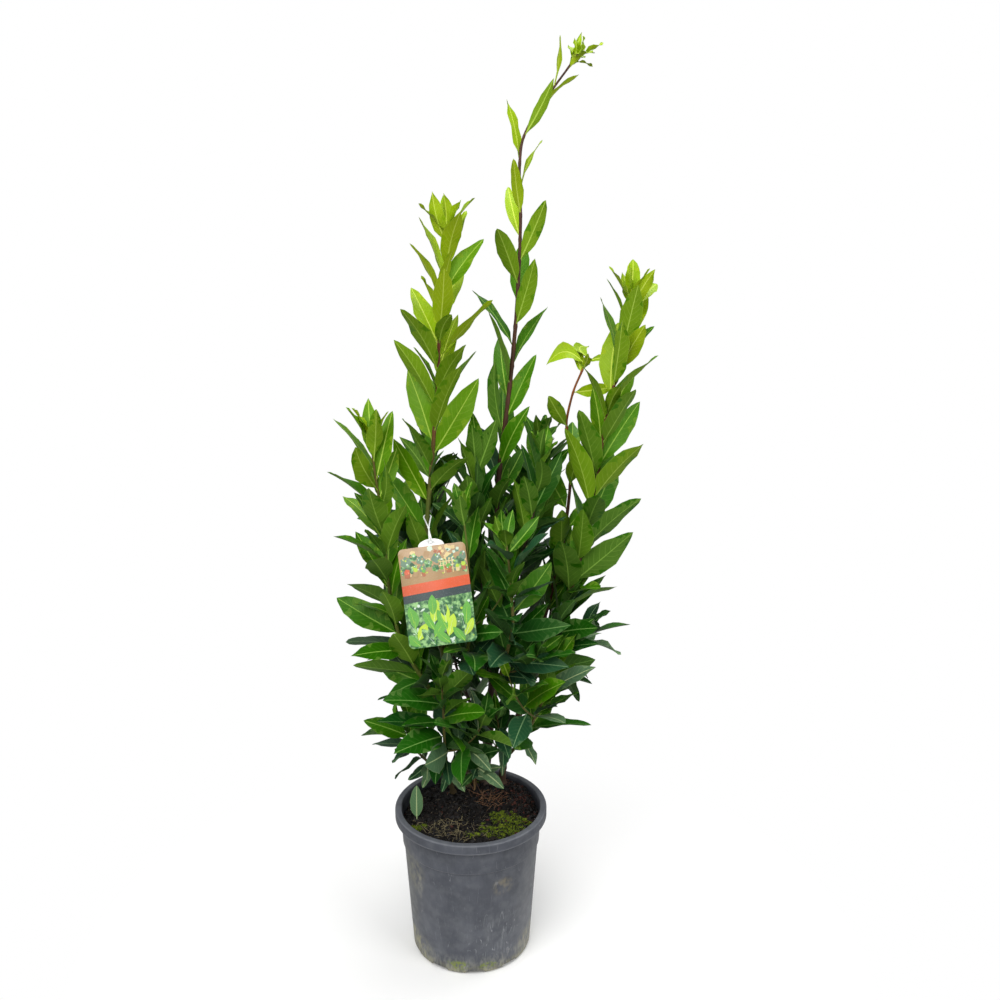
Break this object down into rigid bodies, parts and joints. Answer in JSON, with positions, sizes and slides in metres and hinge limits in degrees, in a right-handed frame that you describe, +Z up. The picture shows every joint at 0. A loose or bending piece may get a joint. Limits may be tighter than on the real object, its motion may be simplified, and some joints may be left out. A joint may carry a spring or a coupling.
{
  "type": "potted bay laurel shrub",
  "caption": "Bushy evergreen shrub with several stems and tall leafy shoots, in a round dark nursery pot, with a plant label hung on one shoot.",
  "frame": {"origin": "centre of the pot's flat underside", "axes": "+Z up, -Y towards the plant's front, +X to the right seen from the front"},
  "size_m": [0.3781, 0.3127, 1.1002],
  "materials": {
    "black_plastic": "matt, scuffed and dusty",
    "compost": "loose damp compost",
    "bark": "thin smooth bark",
    "bay_leaf": "leathery leaf, slightly glossy",
    "label_card": "printed plastic card",
    "white_plastic": "moulded, satin"
  },
  "bodies": {
    "root": {"bough_back_left": "bark", "bough_back_right": "bark", "bough_crown_left": "bark", "bough_crown_right": "bark", "bough_foot": "bark", "bough_front": "bark", "bough_front_left": "bark", "bough_inner_right": "bark", "bough_low_back_left": "bark", "bough_low_back_right": "bark", "bough_low_front": "bark", "bough_low_outer_left": "bark", "bough_low_right": "bark", "bough_outer_left": "bark", "fallen_leaf": "bay_leaf", "label_card": "label_card", "label_strap": "white_plastic", "leaves_back_left": "bay_leaf", "leaves_back_right": "bay_leaf", "leaves_centre": "bay_leaf", "leaves_crown_left": "bay_leaf", "leaves_crown_right": "bay_leaf", "leaves_foot": "bay_leaf", "leaves_front": "bay_leaf", "leaves_front_left": "bay_leaf", "leaves_inner_right": "bay_leaf", "leaves_left": "bay_leaf", "leaves_low_back_left": "bay_leaf", "leaves_low_back_right": "bay_leaf", "leaves_low_front": "bay_leaf", "leaves_low_left": "bay_leaf", "leaves_low_outer_left": "bay_leaf", "leaves_low_right": "bay_leaf", "leaves_outer_left": "bay_leaf", "leaves_right": "bay_leaf", "pot": "black_plastic", "soil": "compost", "stem_centre": "bark", "stem_left": "bark", "stem_low_left": "bark", "stem_right": "bark"}
  },
  "joints": []
}
